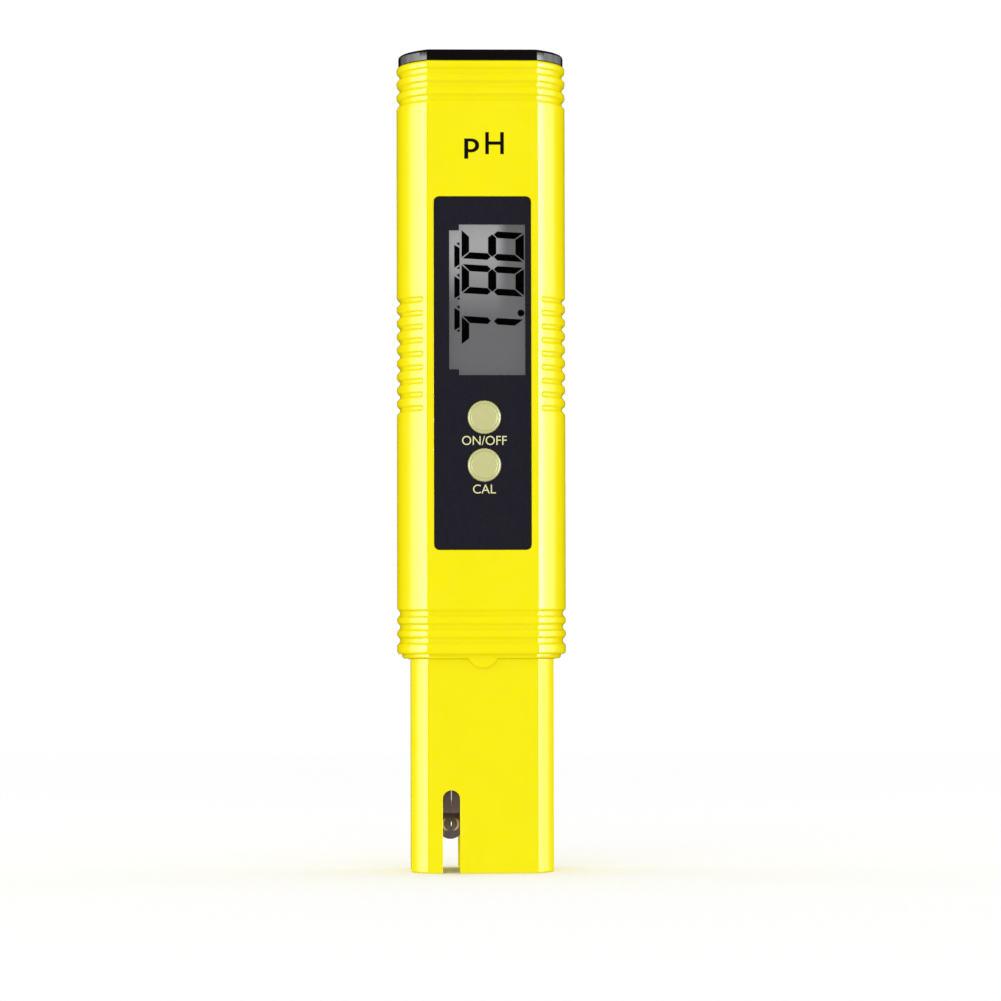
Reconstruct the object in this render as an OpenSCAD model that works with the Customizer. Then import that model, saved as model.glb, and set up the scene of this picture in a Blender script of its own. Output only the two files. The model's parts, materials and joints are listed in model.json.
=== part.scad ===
// Digital pH meter, pen type: a tubular body with a display and two buttons, a slotted probe guard
// at the lower end and a battery drawer at the upper end.
// Frame: +Z runs up the pen from the open end of the probe guard, the display faces -Y, +X is to
// the reader's right, and the origin is the centre of the guard's lower rim.

/* [Body] */
// Width of the body across its rounded sides
body_w = 31; // [30.6:0.1:31.6]
// Thickness of the body, front flat to back flat
body_t = 23; // [22.8:0.1:23.4]
// Radius of the rounded sides
side_r = 14.9; // [14.7:0.1:15.1]
// Length of the body from its lip to the battery cap
body_l = 107.9; // [107.9:0.1:108.9]
// Wall of the body
wall = 2; // [1.9:0.05:2.1]
// Height of the narrow lip under the body
lip_h = 0.8; // [0.7:0.1:1]
// How far the lip stands in from the body
lip_inset = 0.9; // [0.7:0.1:1.1]

/* [Grooves] */
// Distance between neighbouring ring grooves
ring_pitch = 2.46; // [2.2:0.01:2.5]
// Height of a ring groove
ring_h = 1; // [0.8:0.1:1.2]
// Depth of a ring groove
ring_d = 0.5; // [0.3:0.05:0.6]
// Number of ring grooves at each end
ring_count = 3; // [2:1:3]
// Number of grip grooves on each side
grip_count = 9; // [5:1:9]
// Distance between neighbouring grip grooves
grip_pitch = 2.47; // [2.2:0.01:2.6]
// Height of a grip groove
grip_h = 1.1; // [1:0.05:1.4]
// Depth of a grip groove
grip_d = 0.6; // [0.4:0.05:0.7]

/* [Face panel] */
// Width of the dark face panel
panel_w = 17.5; // [17:0.05:17.5]
// Height of the face panel
panel_h = 64.1; // [63:0.1:65]
// Thickness of the face panel
panel_t = 0.8; // [0.7:0.05:0.9]
// How far the panel lies below the front flat
panel_sink = 0.35; // [0.3:0.05:0.4]
// Corner radius of the panel
panel_r = 1; // [0.5:0.1:1.5]

/* [Display] */
// Width of the display window without its narrow side strip
window_w = 12; // [11:0.1:12]
// Height of the display window
window_h = 27.4; // [26:0.1:27.5]
// Width of the narrow strip on the window's left
strip_w = 1.78; // [1.5:0.01:1.8]
// Height of the narrow strip
strip_h = 25.3; // [24:0.1:25.5]

/* [Buttons] */
// Diameter of a button
button_d = 6.04; // [5.6:0.02:6.2]
// Distance between the two buttons
button_pitch = 8.66; // [8.6:0.02:9]
// Travel of a button
button_travel = 0.3; // [0.2:0.05:0.3]

/* [Probe guard] */
// Length of the guard below the body's lip
guard_l = 38.8; // [38.8:0.1:40]
// Width of the guard
guard_w = 26; // [25.6:0.1:26.4]
// Thickness of the guard, front to back
guard_t = 20; // [19.6:0.1:20.2]
// Radius of the guard's rounded corners, struck from its centre line
guard_r = 14.15; // [14:0.05:14.3]
// Wall of the guard
guard_wall = 1.5; // [1.3:0.1:1.6]
// Width of the water slot
slot_w = 3.1; // [2.6:0.1:3.4]
// Height of the water slot
slot_h = 15; // [12:0.5:16]

/* [Sensors] */
// Distance of each sensor from the centre line
sensor_x = 5.75; // [5.5:0.05:6]
// Diameter of the electrode's stem
stem_d = 6; // [5.8:0.1:6.2]
// Radius of the glass bulb
bulb_r = 2.75; // [2.5:0.05:2.8]
// Diameter of the temperature probe
probe_d = 4; // [3:0.1:4.5]

/* [Battery drawer] */
// Height of the battery cap above the body
cap_h = 2.05; // [1.8:0.05:2.4]
// How far the cap stands in from the body
cap_inset = 0.35; // [0.2:0.05:0.5]
// Diameter of a button cell
cell_d = 11.6; // [11.5:0.05:11.6]
// Height of a button cell
cell_h = 5.4; // [5.3:0.05:5.4]

/* [Hidden] */
$fn = 64;

slack = 0.05;
over = 0.1;
front = -body_t / 2;

// heights along the pen
body_z = guard_l + lip_h;
top_z = body_z + body_l;
panel_z = body_z + 51;
window_z = body_z + 64.3;
cal_z = body_z + 34.3;
power_z = cal_z + button_pitch;
ring_low_z = body_z + 2.5;
ring_high_z = top_z - 1.9;
grip_z = body_z + 44.7;
ledge_z = top_z - 16.9;
ledge_h = 1;
ledge_inset = wall + 1.2;
spigot_z = guard_l + 11.2;

// the printed face, the display and the buttons share one centre line, a little off the pen's own
face_x = 0.3;
window_x0 = -4.25;
grip_x = 10.7;

// depths behind the front flat
panel_back = front + panel_sink + panel_t;
wall_back = front + wall;
lcd_y = wall_back + slack * 2;
lcd_plate_t = 1.1;
lcd_rear_y = lcd_y + lcd_plate_t;
film_y = lcd_rear_y + lcd_plate_t;
film_t = 0.2;
board_t = 1.2;
board_y = wall_back + 4.2;
board_back = board_y + board_t;
board_w = 21;
board_low = body_z + 15.4;
board_high = body_z + 88.9;

// tact switches
plunger_y = wall_back - 0.1;
cover_y = plunger_y + 0.6;
cover_t = 0.2;
switch_w = 6;
dome_y = plunger_y + 2.85;

// chassis
rail_in = board_w / 2 + 0.25;
rail_out = 12.3;
rail_back = 2.5;
bar_t = 1.5;
screw_x = 9;
screw_low = board_low + 1.8;
screw_high = board_high - 2.2;
screw_d = 1.6;

// battery drawer
skirt_in = wall + 0.15;
skirt_t = 1.2;
skirt_h = 4.2;
cell_z = top_z - 8.2;
tray_w = 15.8;
tray_t = 16.2;
tray_low = cell_z - cell_d / 2 - 1;
leaf_x = 8.6;
leaf_t = 0.35;
leaf_w = 3;
leaf_low = ledge_z - 6.6;

// sensors
carrier_z = 18;
carrier_h = 16;
potting_h = 4;
stem_low = 10.6;
stem_high = 46;
stem_bore = 4.56;
tube_r = 1.6;
bulb_z = 8.5;
glass_t = 0.4;
junction_z = stem_low + 0.3;
junction_h = 1.4;
plug_h = 1.8;
silver_r = 0.25;
reference_r = 0.2;
reference_x = 1.94;
cable_r = 1.1;
lead_r = 0.45;
lead_gap = 0.7;
gland_d = 1.5;

// ---- outlines -------------------------------------------------------------------------------

// cross-section of the pen: two flats and two rounded sides, all moved in by "inset"
module pen_section(inset) {
  intersection() {
    union() {
      for (side = [-1, 1])
        translate([side * (body_w / 2 - side_r), 0])
          circle(r = side_r - inset, $fn = 128);
    }
    square([body_w, body_t - 2 * inset], center = true);
  }
}

// cross-section of the probe guard
module guard_section(inset) {
  intersection() {
    circle(r = guard_r - inset, $fn = 128);
    square([guard_w - 2 * inset, guard_t - 2 * inset], center = true);
  }
}

// a rounded rectangle about the origin, with short straight facets round its corners
module rounded_rectangle(w, h, r) {
  steps = 6;
  polygon([
    for (corner = [0:3], i = [0:steps])
      let (a = 90 * corner + 90 * i / steps,
           sx = (corner == 0 || corner == 3) ? 1 : -1,
           sy = corner < 2 ? 1 : -1)
        [sx * (w / 2 - r) + r * cos(a), sy * (h / 2 - r) + r * sin(a)]
  ]);
}

// the display window: a tall rectangle with a slightly shorter strip on its left, grown by "grow"
module window_outline(grow) {
  right = window_x0 + window_w;
  left = window_x0 - strip_w;
  translate([window_x0 - grow, window_z - window_h / 2 - grow])
    square([right - window_x0 + 2 * grow, window_h + 2 * grow]);
  translate([left - grow, window_z - strip_h / 2 - grow])
    square([strip_w + over, strip_h + 2 * grow]);
}

// ---- placing --------------------------------------------------------------------------------

// an outline drawn in X and Z, made solid from depth y0 to depth y1
module across(y0, y1) {
  translate([0, y1, 0])
    rotate([90, 0, 0])
      linear_extrude(y1 - y0)
        children();
}

// an upright extrusion from height z0 to height z1
module upright(z0, z1) {
  translate([0, 0, z0])
    linear_extrude(z1 - z0)
      children();
}

// a round bar along Y at (x, z)
module y_bar(x, z, y0, y1, d) {
  translate([x, y1, z])
    rotate([90, 0, 0])
      cylinder(d = d, h = y1 - y0);
}

// a round bar along Z at (x, y)
module z_bar(x, y, z0, z1, r) {
  translate([x, y, z0])
    cylinder(r = r, h = z1 - z0);
}

// a block between two corners
module block(low, high) {
  translate(low)
    cube(high - low);
}

// a wire from (x, 0) at height z0 to height z1, where it turns forward to the back of the board
module bent_wire(x, z0, z1, r) {
  z_bar(x, 0, min(z0, z1), max(z0, z1), r);
  translate([x, 0, z1])
    sphere(r = r * 1.1, $fn = 24);
  y_bar(x, z1, board_back, 0, 2 * r);
}

// everything outside the pen section at this depth, as a cutter for the grooves
module groove_cutter(z, h, depth) {
  upright(z - h / 2, z + h / 2)
    difference() {
      square([body_w + 4, body_t + 4], center = true);
      pen_section(depth);
    }
}

// ---- body -----------------------------------------------------------------------------------

module ring_grooves() {
  for (i = [0:ring_count - 1]) {
    groove_cutter(ring_low_z + i * ring_pitch, ring_h, ring_d);
    groove_cutter(ring_high_z - i * ring_pitch, ring_h, ring_d);
  }
}

module grip_grooves() {
  for (side = [-1, 1], i = [0:grip_count - 1])
    intersection() {
      groove_cutter(grip_z + i * grip_pitch, grip_h, grip_d);
      translate([side * (grip_x + body_w / 2), 0, body_z + body_l / 2])
        cube([body_w, body_t + over, body_l], center = true);
    }
}

module body_cavity() {
  upright(guard_l - over, ledge_z)
    pen_section(wall);
  upright(ledge_z - over, ledge_z + ledge_h + over)
    pen_section(ledge_inset);
  upright(ledge_z + ledge_h, top_z + over)
    pen_section(wall);
}

module body_shell() {
  color("gold")
    difference() {
      union() {
        upright(body_z, top_z)
          pen_section(0);
        upright(guard_l, body_z + over)
          pen_section(lip_inset);
      }
      body_cavity();
      ring_grooves();
      grip_grooves();
      across(front - over, panel_back)
        translate([0, panel_z])
          rounded_rectangle(panel_w + 2 * slack, panel_h + 2 * slack, panel_r);
      across(panel_back - over, wall_back + over)
        window_opening();
      for (z = [cal_z, power_z])
        y_bar(face_x, z, panel_back - over, wall_back + over, button_d + 1.44);
    }
}

// the plain opening through the wall behind the display window
module window_opening() {
  margin = 0.55;
  translate([window_x0 - strip_w - margin, window_z - window_h / 2 - margin])
    square([window_w + strip_w + 2 * margin, window_h + 2 * margin]);
}

module face_panel() {
  color("midnightblue")
    difference() {
      across(front + panel_sink, panel_back)
        translate([0, panel_z])
          rounded_rectangle(panel_w, panel_h, panel_r);
      across(front, panel_back + over)
        window_outline(0);
      for (z = [cal_z, power_z])
        y_bar(face_x, z, front, panel_back + over, button_d + 0.2);
    }
}

module display_window() {
  color("lightgray", 0.5)
    across(front + panel_sink, panel_back)
      window_outline(-slack / 2);
}

// ---- display --------------------------------------------------------------------------------

// the display's glass is this much wider and taller than the window it shows through
lcd_x = 9;
lcd_h = window_h + 3.8;
rear_x0 = -6.6;
zebra_x = -7.8;
zebra_w = 1.6;
zebra_h = lcd_h - 3.6;

module lcd_front_glass() {
  color("silver")
    block([-lcd_x, lcd_y, window_z - lcd_h / 2], [lcd_x, lcd_rear_y, window_z + lcd_h / 2]);
}

module lcd_rear_glass() {
  color("darkgray")
    block([rear_x0, lcd_rear_y, window_z - lcd_h / 2], [lcd_x, film_y, window_z + lcd_h / 2]);
}

module lcd_reflector() {
  color("gainsboro")
    block([rear_x0, film_y, window_z - lcd_h / 2], [lcd_x, film_y + film_t, window_z + lcd_h / 2]);
}

module lcd_frame() {
  end = lcd_h / 2;
  side = 10.1;
  lug_x = 7.5;
  lug_h = 1.2;
  floor_y = film_y + film_t;
  rim = 1.2;
  color("white")
    difference() {
      union() {
        block([-side, lcd_rear_y, window_z - end - rim], [side, board_y, window_z + end + rim]);
        for (z = [window_z - end - rim, window_z + end + slack])
          block([-lug_x, lcd_y + 0.2, z], [lug_x, lcd_rear_y + over, z + lug_h - slack]);
      }
      block([rear_x0 - slack, lcd_rear_y - over, window_z - end - slack],
            [lcd_x + slack, floor_y, window_z + end + slack]);
      block([rear_x0 + 1.2, floor_y - over, window_z - end + 2],
            [lcd_x - 1.2, board_y + over, window_z + end - 2]);
      block([zebra_x - zebra_w / 2 - slack, lcd_rear_y - over, window_z - zebra_h / 2 - slack],
            [zebra_x + zebra_w / 2 + slack, board_y + over, window_z + zebra_h / 2 + slack]);
    }
}

module zebra_strip() {
  color("pink")
    block([zebra_x - zebra_w / 2, lcd_rear_y, window_z - zebra_h / 2],
          [zebra_x + zebra_w / 2, board_y, window_z + zebra_h / 2]);
}

// ---- circuit board --------------------------------------------------------------------------

module main_board() {
  color("seagreen")
    difference() {
      block([-board_w / 2, board_y, board_low], [board_w / 2, board_back, board_high]);
      for (x = [-screw_x, screw_x], z = [screw_low, screw_high])
        y_bar(x, z, board_y - over, board_back + over, screw_d + 0.2);
    }
}

// a chip on the back of the board: a flat body with "count" leads along two or four sides
module chip(x, z, w, h, count, sides, pitch) {
  body_y = board_back + 0.1;
  lead_t = 0.2;
  lead_l = 0.9;
  block([x - w / 2, body_y, z - h / 2], [x + w / 2, body_y + 1.4, z + h / 2]);
  for (i = [0:count - 1]) {
    step = (i - (count - 1) / 2) * pitch;
    for (side = [-1, 1]) {
      translate([x + side * w / 2, board_back + lead_t / 2, z + step])
        cube([2 * lead_l, lead_t, 0.4], center = true);
      if (sides == 4)
        translate([x + step, board_back + lead_t / 2, z + side * h / 2])
          cube([0.4, lead_t, 2 * lead_l], center = true);
    }
  }
}

module controller_chip() {
  color("dimgray")
    chip(0, window_z - 3, 10, 10, 8, 4, 1);
}

module amplifier_chip() {
  color("dimgray")
    chip(-1.5, board_low + 17, 4, 5, 4, 2, 1.27);
}

module crystal() {
  can_r = 1.5;
  color("silver")
    z_bar(5.5, board_back + can_r + slack, window_z + 5, window_z + 12, can_r);
}

// small resistors and capacitors, in a row above and a row below the chips
module chip_parts() {
  pitch = 3;
  color("tan")
    for (row = [window_z - 11, board_low + 12, board_low + 23.5], i = [-2:2])
      block([i * pitch - 1, board_back, row - 0.6], [i * pitch + 1, board_back + 0.6, row + 0.6]);
}

module board_screws() {
  head_d = 2.8;
  head_h = 0.9;
  thread_l = 2.4;
  color("silver")
    for (x = [-screw_x, screw_x], z = [screw_low, screw_high])
      difference() {
        union() {
          y_bar(x, z, board_y - head_h, board_y, head_d);
          y_bar(x, z, board_y - slack, board_y + thread_l, screw_d);
        }
        for (turn = [0, 90])
          translate([x, board_y - head_h, z])
            rotate([0, turn, 0])
              cube([1.8, 0.8, 0.4], center = true);
      }
}

// ---- chassis --------------------------------------------------------------------------------

module chassis_bar(z0, z1) {
  block([-rail_in, board_back, z0], [rail_in, board_back + bar_t, z1]);
}

module inner_chassis() {
  low = spigot_z;
  block_back = leaf_w / 2 + 1;
  color("ivory")
    difference() {
      union() {
        for (side = [-1, 1]) {
          translate([side * (rail_in + rail_out) / 2, (board_y + rail_back) / 2, (low + ledge_z) / 2])
            cube([rail_out - rail_in, rail_back - board_y, ledge_z - low], center = true);
          translate([side * 9.3, (board_back + block_back) / 2, ledge_z - 3])
            cube([4, block_back - board_back, 6], center = true);
        }
        chassis_bar(low, board_low + 4.5);
        chassis_bar(power_z + 1.5, power_z + 5.5);
        chassis_bar(ledge_z - 6, ledge_z);
      }
      for (x = [-screw_x, screw_x], z = [screw_low, screw_high])
        y_bar(x, z, board_back - over, board_back + bar_t + 0.2, screw_d + 0.04);
      for (side = [-1, 1])
        translate([side * (leaf_x + leaf_t / 2), 0, ledge_z - 2])
          cube([leaf_t + 2 * slack, leaf_w + 2 * slack, 8 + over], center = true);
    }
}

// ---- buttons and their switches -------------------------------------------------------------

module switch_base(z) {
  cavity_d = 4.6;
  color("black")
    difference() {
      block([face_x - switch_w / 2, cover_y + cover_t, z - switch_w / 2],
            [face_x + switch_w / 2, board_y, z + switch_w / 2]);
      y_bar(face_x, z, cover_y, dome_y + 0.1, cavity_d);
    }
}

module switch_cover(z) {
  color("silver")
    difference() {
      block([face_x - switch_w / 2, cover_y, z - switch_w / 2],
            [face_x + switch_w / 2, cover_y + cover_t, z + switch_w / 2]);
      y_bar(face_x, z, cover_y - over, cover_y + cover_t + over, 3.6);
    }
}

module switch_plunger(z) {
  shoulder_y = cover_y + cover_t + slack;
  color("black") {
    y_bar(face_x, z, plunger_y, shoulder_y + over, 3.4);
    y_bar(face_x, z, shoulder_y, plunger_y + 2.5, 4.4);
  }
}

module button(z) {
  flange_y = panel_back + 0.02;
  flange_t = 0.38;
  color("palegoldenrod") {
    y_bar(face_x, z, front, flange_y + over, button_d);
    y_bar(face_x, z, flange_y, flange_y + flange_t, button_d + 1.24);
    y_bar(face_x, z, flange_y + flange_t - over, plunger_y, 3);
  }
}

module power_switch_base() { switch_base(power_z); }
module cal_switch_base() { switch_base(cal_z); }
module power_switch_cover() { switch_cover(power_z); }
module cal_switch_cover() { switch_cover(cal_z); }
module power_switch_plunger() { switch_plunger(power_z); }
module cal_switch_plunger() { switch_plunger(cal_z); }
module power_button() { button(power_z); }
module cal_button() { button(cal_z); }

// the spring discs of both switches, in their pressed, flat state
module switch_domes() {
  color("silver")
    for (z = [cal_z, power_z])
      y_bar(face_x, z, dome_y, dome_y + 0.1, 4.4);
}

// ---- battery drawer -------------------------------------------------------------------------

module battery_cap() {
  edge = 0.4;
  seal_z = top_z - skirt_h + 1.2;
  color("black")
    difference() {
      union() {
        upright(top_z, top_z + cap_h - edge)
          pen_section(cap_inset);
        upright(top_z + cap_h - edge - over, top_z + cap_h)
          pen_section(cap_inset + edge / 2);
        upright(top_z - skirt_h, top_z + over)
          pen_section(skirt_in);
      }
      upright(top_z - skirt_h - over, top_z)
        pen_section(skirt_in + skirt_t);
      groove_cutter(seal_z + 0.6, 1.2, skirt_in + 0.5);
    }
}

module cap_seal() {
  low = top_z - skirt_h + 1.2 + slack;
  color("dimgray")
    upright(low, low + 1.1)
      difference() {
        pen_section(wall + 0.03);
        pen_section(skirt_in + 0.47);
      }
}

module battery_tray() {
  half = cell_h + slack * 2;
  bore = cell_d + 0.2;
  slot = leaf_w + 0.6;
  color("ivory")
    difference() {
      union() {
        translate([0, 0, (tray_low + top_z) / 2 - slack / 2])
          cube([tray_w, tray_t, top_z - tray_low - slack], center = true);
        upright(top_z - 1.4, top_z - slack / 2)
          pen_section(skirt_in + skirt_t + slack);
      }
      translate([-half, 0, cell_z])
        rotate([0, 90, 0])
          cylinder(d = bore, h = 2 * half);
      translate([0, -body_t / 2, cell_z])
        cube([2 * half, body_t, bore], center = true);
      for (side = [-1, 1])
        translate([side * (cell_h + tray_w / 4), 0, tray_low])
          cube([tray_w / 2, slot, 2 * (cell_d + 0.2)], center = true);
    }
}

module battery_cells() {
  body_h = cell_h - slack / 2;
  can_h = body_h - 0.4;
  color("silver")
    for (i = [0, 1])
      translate([(i - 1) * cell_h, 0, cell_z])
        rotate([0, 90, 0]) {
          cylinder(d = cell_d - 2, h = body_h);
          translate([0, 0, body_h - can_h])
            cylinder(d = cell_d, h = can_h);
        }
}

// a leaf contact that stands in the chassis and bows in to touch the end of the battery stack
module leaf_contact(side) {
  touch_x = cell_h + slack;
  path = [[leaf_x, leaf_low], [leaf_x, cell_z - 5], [touch_x, cell_z - 0.6],
          [touch_x, cell_z + 0.6], [leaf_x - 0.3, cell_z + 3.8]];
  count = len(path);
  color("gold")
    mirror([side < 0 ? 1 : 0, 0, 0])
      across(-leaf_w / 2, leaf_w / 2)
        polygon([
          for (i = [0:count - 1]) path[i],
          for (i = [0:count - 1]) path[count - 1 - i] + [leaf_t, 0]
        ]);
}

module positive_contact() { leaf_contact(1); }
module negative_contact() { leaf_contact(-1); }

// each wire drops from its contact's foot and turns forward to the board
module battery_leads() {
  color("crimson")
    for (side = [-1, 1])
      bent_wire(side * (leaf_x + leaf_t / 2), leaf_low, leaf_low - 3.5, lead_r);
}

// ---- probe guard and seals ------------------------------------------------------------------

gland_z = guard_l + 5.2;

module probe_guard() {
  spigot_in = wall + slack;
  tab_r = 2.45;
  tab_z = guard_l + 0.8;
  tab_y = front + lip_inset;
  color("gold")
    difference() {
      union() {
        upright(0, guard_l)
          guard_section(0);
        upright(guard_l - over, spigot_z)
          pen_section(spigot_in);
        intersection() {
          y_bar(0, tab_z, tab_y, -guard_t / 2 + guard_wall / 2, 2 * tab_r);
          block([-tab_r, tab_y - over, 0], [tab_r, 0, guard_l]);
        }
      }
      upright(-over, guard_l)
        guard_section(guard_wall);
      upright(guard_l - over, spigot_z + over)
        pen_section(spigot_in + 1.35);
      groove_cutter(gland_z + gland_d / 2, gland_d, spigot_in + 0.6);
      water_slot();
    }
}

// the slot lets the liquid reach the bulb through the front and the back of the guard
module water_slot() {
  round_z = slot_h - slot_w / 2;
  block([-sensor_x - slot_w / 2, front, -over], [-sensor_x + slot_w / 2, -front, round_z]);
  y_bar(-sensor_x, round_z, front, -front, slot_w);
}

module guard_seal() {
  color("dimgray")
    upright(gland_z + slack, gland_z + gland_d - slack)
      difference() {
        pen_section(wall + 0.02);
        pen_section(wall + slack + 0.57);
      }
}

module sensor_carrier() {
  color("black")
    difference() {
      upright(carrier_z, carrier_z + carrier_h)
        guard_section(guard_wall + slack);
      sensor_bores(carrier_z - over, carrier_z + carrier_h + over);
      for (place = [[-sensor_x, stem_d], [sensor_x, probe_d]])
        z_bar(place[0], 0, carrier_z + 5, carrier_z + 5 + gland_d, place[1] / 2 + 1);
    }
}

// clearance bores for the electrode and the temperature probe
module sensor_bores(z0, z1) {
  z_bar(-sensor_x, 0, z0, z1, stem_d / 2 + 0.03);
  z_bar(sensor_x, 0, z0, z1, probe_d / 2 + 0.03);
}

module sensor_seals() {
  color("dimgray")
    for (place = [[-sensor_x, stem_d], [sensor_x, probe_d]])
      difference() {
        z_bar(place[0], 0, carrier_z + 5 + slack, carrier_z + 5 + gland_d - slack, place[1] / 2 + 0.97);
        z_bar(place[0], 0, carrier_z, carrier_z + 8, place[1] / 2 + 0.02);
      }
}

module potting_plug() {
  low = carrier_z + carrier_h;
  color("saddlebrown")
    difference() {
      upright(low, low + potting_h)
        guard_section(guard_wall + 0.02);
      sensor_bores(low - over, low + potting_h + over);
    }
}

// ---- pH electrode ---------------------------------------------------------------------------

module electrode_stem() {
  color("indigo")
    difference() {
      z_bar(-sensor_x, 0, stem_low, stem_high, stem_d / 2);
      z_bar(-sensor_x, 0, stem_low - over, stem_high + over, stem_bore / 2);
    }
}

// the sensing membrane: a hollow ball blown on the end of a thin glass tube
module glass_bulb() {
  tube_top = stem_high - plug_h - 0.2;
  color("lightcyan", 0.5)
    difference() {
      union() {
        translate([-sensor_x, 0, bulb_z])
          sphere(r = bulb_r);
        z_bar(-sensor_x, 0, bulb_z, tube_top, tube_r);
      }
      translate([-sensor_x, 0, bulb_z])
        sphere(r = bulb_r - glass_t);
      z_bar(-sensor_x, 0, bulb_z, tube_top + over, tube_r - glass_t);
    }
}

// a ring between the glass tube and the stem
module stem_ring(z0, z1) {
  difference() {
    z_bar(-sensor_x, 0, z0, z1, stem_bore / 2 - 0.01);
    z_bar(-sensor_x, 0, z0 - over, z1 + over, tube_r + 0.01);
  }
}

module reference_gel() {
  low = junction_z + junction_h;
  high = stem_high - plug_h - 0.2;
  color("lightsteelblue", 0.7)
    difference() {
      stem_ring(low, high);
      z_bar(reference_x - sensor_x, 0, low + 2, high + over, reference_r + 0.02);
    }
}

module reference_junction() {
  color("wheat")
    stem_ring(junction_z, junction_z + junction_h);
}

module silver_wire() {
  color("silver")
    z_bar(-sensor_x, 0, bulb_z, stem_high, silver_r);
}

module reference_wire() {
  color("silver")
    z_bar(reference_x - sensor_x, 0, junction_z + junction_h + 2, stem_high, reference_r);
}

module electrode_plug() {
  color("black")
    difference() {
      z_bar(-sensor_x, 0, stem_high - plug_h, stem_high, stem_bore / 2 - 0.01);
      z_bar(-sensor_x, 0, stem_high - plug_h - over, stem_high + over, silver_r + 0.02);
      z_bar(reference_x - sensor_x, 0, stem_high - plug_h - over, stem_high + over, reference_r + 0.02);
    }
}

module electrode_cable() {
  color("black")
    bent_wire(-sensor_x, stem_high, board_low + 9, cable_r);
}

// ---- temperature probe ----------------------------------------------------------------------

module temperature_probe() {
  tip = 6;
  head_z = carrier_z + carrier_h + potting_h;
  color("silver") {
    z_bar(sensor_x, 0, tip + probe_d / 2, head_z, probe_d / 2);
    translate([sensor_x, 0, tip + probe_d / 2])
      sphere(r = probe_d / 2 - 0.01);
  }
}

module thermistor_leads() {
  low = carrier_z + carrier_h + potting_h;
  color("white")
    for (side = [-1, 1])
      bent_wire(sensor_x + side * lead_gap, low, board_low + 7 + side, lead_r);
}

body_shell();
face_panel();
display_window();
lcd_front_glass();
lcd_rear_glass();
lcd_reflector();
lcd_frame();
zebra_strip();
main_board();
controller_chip();
amplifier_chip();
crystal();
chip_parts();
board_screws();
inner_chassis();
power_switch_base();
cal_switch_base();
power_switch_cover();
cal_switch_cover();
switch_domes();
power_switch_plunger();
cal_switch_plunger();
power_button();
cal_button();
battery_cap();
cap_seal();
battery_tray();
battery_cells();
positive_contact();
negative_contact();
battery_leads();
probe_guard();
guard_seal();
sensor_carrier();
sensor_seals();
potting_plug();
electrode_stem();
glass_bulb();
reference_gel();
reference_junction();
silver_wire();
reference_wire();
electrode_plug();
electrode_cable();
temperature_probe();
thermistor_leads();
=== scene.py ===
"""Looks of the digital pH meter: its moulded skins, printed marks, materials, camera and studio."""
import json
import math

import bmesh
import bpy
from mathutils import Matrix, Vector

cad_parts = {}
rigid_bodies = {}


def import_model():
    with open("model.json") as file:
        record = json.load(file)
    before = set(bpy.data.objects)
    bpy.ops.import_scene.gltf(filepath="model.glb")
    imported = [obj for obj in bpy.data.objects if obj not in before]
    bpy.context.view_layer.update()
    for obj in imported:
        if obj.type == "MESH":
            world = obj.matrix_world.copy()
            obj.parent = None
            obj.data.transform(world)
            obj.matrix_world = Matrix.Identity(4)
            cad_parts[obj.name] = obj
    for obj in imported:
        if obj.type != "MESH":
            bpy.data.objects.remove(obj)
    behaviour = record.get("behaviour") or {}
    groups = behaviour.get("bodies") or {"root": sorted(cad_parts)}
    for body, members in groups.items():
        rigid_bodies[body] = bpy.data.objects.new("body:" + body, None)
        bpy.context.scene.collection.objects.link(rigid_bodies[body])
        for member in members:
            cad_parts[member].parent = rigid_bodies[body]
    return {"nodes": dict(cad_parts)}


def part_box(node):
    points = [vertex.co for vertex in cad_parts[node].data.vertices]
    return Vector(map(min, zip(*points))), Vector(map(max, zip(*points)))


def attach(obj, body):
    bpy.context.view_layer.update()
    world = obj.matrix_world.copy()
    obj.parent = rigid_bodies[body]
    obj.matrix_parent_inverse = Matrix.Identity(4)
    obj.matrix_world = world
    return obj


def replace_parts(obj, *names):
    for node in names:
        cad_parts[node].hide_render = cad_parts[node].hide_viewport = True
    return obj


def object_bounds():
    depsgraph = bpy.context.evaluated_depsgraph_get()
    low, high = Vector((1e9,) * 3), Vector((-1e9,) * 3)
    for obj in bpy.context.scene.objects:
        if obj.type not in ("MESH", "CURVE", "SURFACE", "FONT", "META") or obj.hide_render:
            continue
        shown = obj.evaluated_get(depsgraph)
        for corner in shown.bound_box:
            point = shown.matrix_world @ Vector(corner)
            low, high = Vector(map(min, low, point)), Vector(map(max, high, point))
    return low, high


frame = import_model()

cad_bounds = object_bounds()

MM = 0.001
FULL_TURN = 2 * math.pi


def span(node):
    """Lowest and highest corner of a CAD node, in millimetres."""
    low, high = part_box(node)
    return low / MM, high / MM


# ---- sizes in millimetres, worked out from the CAD nodes and a few moulding details --------------

BODY_LOW, BODY_HIGH = span("body_shell")
PANEL_LOW, PANEL_HIGH = span("face_panel")
WINDOW_LOW, WINDOW_HIGH = span("display_window")
GUARD_LOW, GUARD_HIGH = span("probe_guard")
CAP_LOW, CAP_HIGH = span("battery_cap")
BULB_LOW, BULB_HIGH = span("glass_bulb")
LCD_FRONT = span("lcd_front_glass")[0].y

FRONT = BODY_LOW.y
WALL = 2.0
SIDE_R = 14.9
EDGE_R = 0.3
LIP_H = 0.8
LIP_INSET = 0.9
LOW_Z = BODY_LOW.z + LIP_H
TOP_Z = BODY_HIGH.z

RING_PITCH = 2.46
RING_AT_FRONT = (0.3, 0.84, 0.36)    # half width of the floor, half width of the mouth, depth
RING_AT_SIDE = (0.1, 1.0, 0.54)
GRIP_PITCH = 2.47
GRIP_COUNT = 9
GRIP_AT_END = (0.12, 0.7, 0.24)
GRIP_AT_SIDE = (0.08, 0.95, 0.6)
GRIP_END = math.radians(45.4)

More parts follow.
